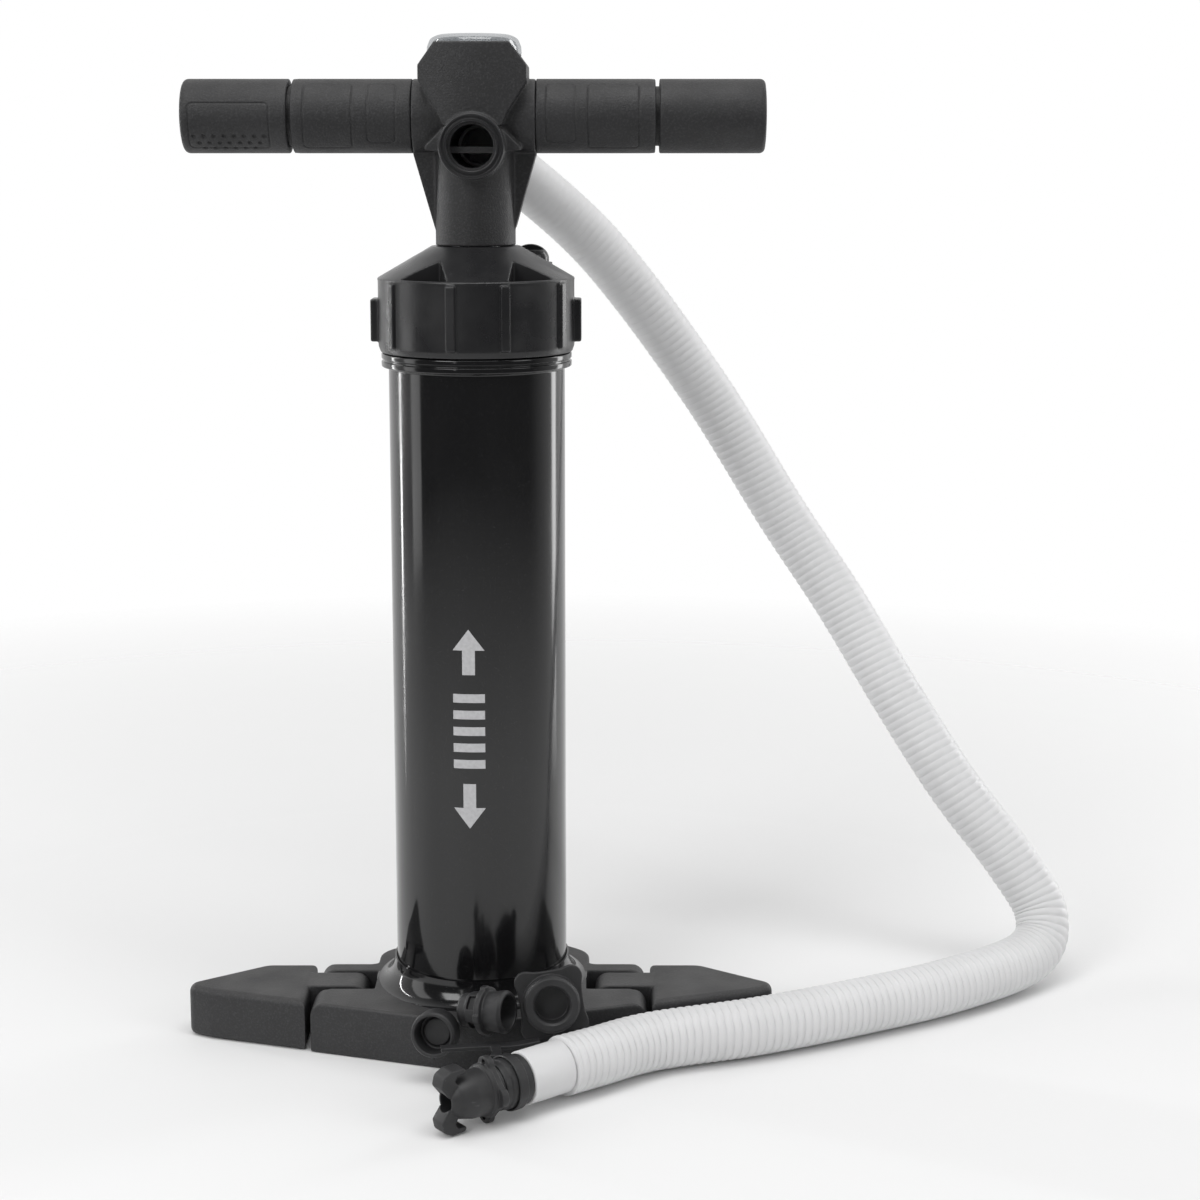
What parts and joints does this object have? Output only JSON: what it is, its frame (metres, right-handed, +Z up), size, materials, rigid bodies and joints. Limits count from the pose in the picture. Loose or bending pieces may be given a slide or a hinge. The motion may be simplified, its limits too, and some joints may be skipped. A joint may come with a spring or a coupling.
{
  "type": "foot-braced hand air pump",
  "caption": "Upright double-action air pump with folding foot plates, T handle on a sliding rod, top pressure gauge, corrugated hose and quarter-turn valve fitting.",
  "frame": {"origin": "on the floor under the barrel's axis, at the underside of the base block", "axes": "+X to the right along the handle, -Y towards the front where the gauge port faces, +Z up along the barrel"},
  "size_m": [0.5338, 0.3457, 0.5775],
  "materials": {
    "matte_charcoal": "fine textured moulding",
    "satin_black": "satin moulding",
    "gloss_black": "high gloss extrusion",
    "black_rubber": "soft matte",
    "silicone": "soft matte",
    "white_print": "printed dial face",
    "white_hose": "satin corrugated tube",
    "zinc_steel": "zinc plated",
    "anodised_aluminium": "satin anodised",
    "clear_lens": "clear polished",
    "red_needle": "plain"
  },
  "bodies": {
    "base": {"base_block": "matte_charcoal", "hinge_pin_left": "zinc_steel", "hinge_pin_right": "zinc_steel", "barrel": "gloss_black", "barrel_foot": "matte_charcoal", "barrel_foot_seal": "black_rubber", "base_screw_1": "zinc_steel", "base_screw_2": "zinc_steel", "base_screw_3": "zinc_steel", "cap": "satin_black", "cap_seal": "black_rubber", "rod_bush": "matte_charcoal", "rod_seal": "black_rubber", "hose": "white_hose", "hose_cuff_lower": "white_hose", "connector_cuff": "black_rubber"},
    "left_foot": {"foot_plate_left": "matte_charcoal"},
    "right_foot": {"foot_plate_right": "matte_charcoal"},
    "selector": {"selector_knob": "satin_black"},
    "lower_intake": {"intake_valve_lower": "black_rubber"},
    "upper_intake": {"intake_valve_upper": "black_rubber"},
    "handle": {"piston_rod": "anodised_aluminium", "piston_plate_lower": "matte_charcoal", "piston_plate_upper": "matte_charcoal", "piston_ring": "black_rubber", "piston_clip": "zinc_steel", "rod_nut": "zinc_steel", "handle_front": "matte_charcoal", "handle_rear": "matte_charcoal", "handle_screw_1": "zinc_steel", "handle_screw_2": "zinc_steel", "handle_screw_3": "zinc_steel", "handle_screw_4": "zinc_steel", "grip_inner_left": "matte_charcoal", "grip_inner_right": "matte_charcoal", "grip_outer_left": "matte_charcoal", "grip_outer_right": "matte_charcoal", "air_manifold": "matte_charcoal", "port_ring_front": "satin_black", "port_ring_rear": "satin_black", "gauge_housing": "satin_black", "gauge_dial": "white_print", "gauge_seal": "black_rubber", "gauge_lens": "clear_lens", "hose_cuff_upper": "white_hose"},
    "needle": {"gauge_needle": "red_needle"},
    "hose_nut": {"hose_nut": "satin_black"},
    "piston_valve_down": {"piston_flap_lower": "black_rubber"},
    "piston_valve_up": {"piston_flap_upper": "black_rubber"},
    "fitting": {"valve_fitting": "black_rubber", "fitting_seal": "silicone"},
    "adapters": {"adapter_strap": "black_rubber", "adapter_cup": "black_rubber", "adapter_double": "black_rubber", "adapter_square": "black_rubber"}
  },
  "joints": [
    {"name": "stroke", "type": "slide", "parent": "base", "child": "handle", "axis": [0, 0, 1], "range_m": [0, 0.335], "deforming": ["hose"]},
    {"name": "left_foot_fold", "type": "hinge", "parent": "base", "child": "left_foot", "pos_m": [-0.081, 0, 0.015], "axis": [0, 1, 0], "range_deg": [0, 90]},
    {"name": "right_foot_fold", "type": "hinge", "parent": "base", "child": "right_foot", "pos_m": [0.081, 0, 0.015], "axis": [0, -1, 0], "range_deg": [0, 90]},
    {"name": "selector_turn", "type": "hinge", "parent": "base", "child": "selector", "pos_m": [0.03, 0.028, 0.45], "axis": [0, 0, 1], "range_deg": [0, 90]},
    {"name": "lower_intake_lift", "type": "slide", "parent": "base", "child": "lower_intake", "axis": [0, 0, 1], "range_m": [0, 0.002]},
    {"name": "upper_intake_lift", "type": "slide", "parent": "base", "child": "upper_intake", "axis": [0, 0, -1], "range_m": [0, 0.002], "stiffness_N_per_m": 600},
    {"name": "needle_sweep", "type": "hinge", "parent": "handle", "child": "needle", "pos_m": [0, 0, 0.56], "axis": [0, 0, -1], "range_deg": [0, 270]},
    {"name": "hose_nut_turn", "type": "hinge", "parent": "handle", "child": "hose_nut", "pos_m": [0, 0.052, 0.516], "axis": [0, 1, 0], "range_deg": [0, 60]},
    {"name": "piston_valve_down_lift", "type": "slide", "parent": "handle", "child": "piston_valve_down", "axis": [0, 0, 1], "range_m": [0, 0.002]},
    {"name": "piston_valve_up_lift", "type": "slide", "parent": "handle", "child": "piston_valve_up", "axis": [0, 0, -1], "range_m": [0, 0.002], "stiffness_N_per_m": 600},
    {"name": "fitting_turn", "type": "hinge", "parent": "base", "child": "fitting", "pos_m": [0.00934, -0.14095, 0.0188], "axis": [-0.7848, -0.6198, 0], "range_deg": [0, 60]},
    {"name": "adapter_strap_swing", "type": "hinge", "parent": "base", "child": "adapters", "pos_m": [0.02072, -0.13196, 0.0188], "axis": [0.7848, 0.6198, 0], "range_deg": [0, 40]}
  ]
}
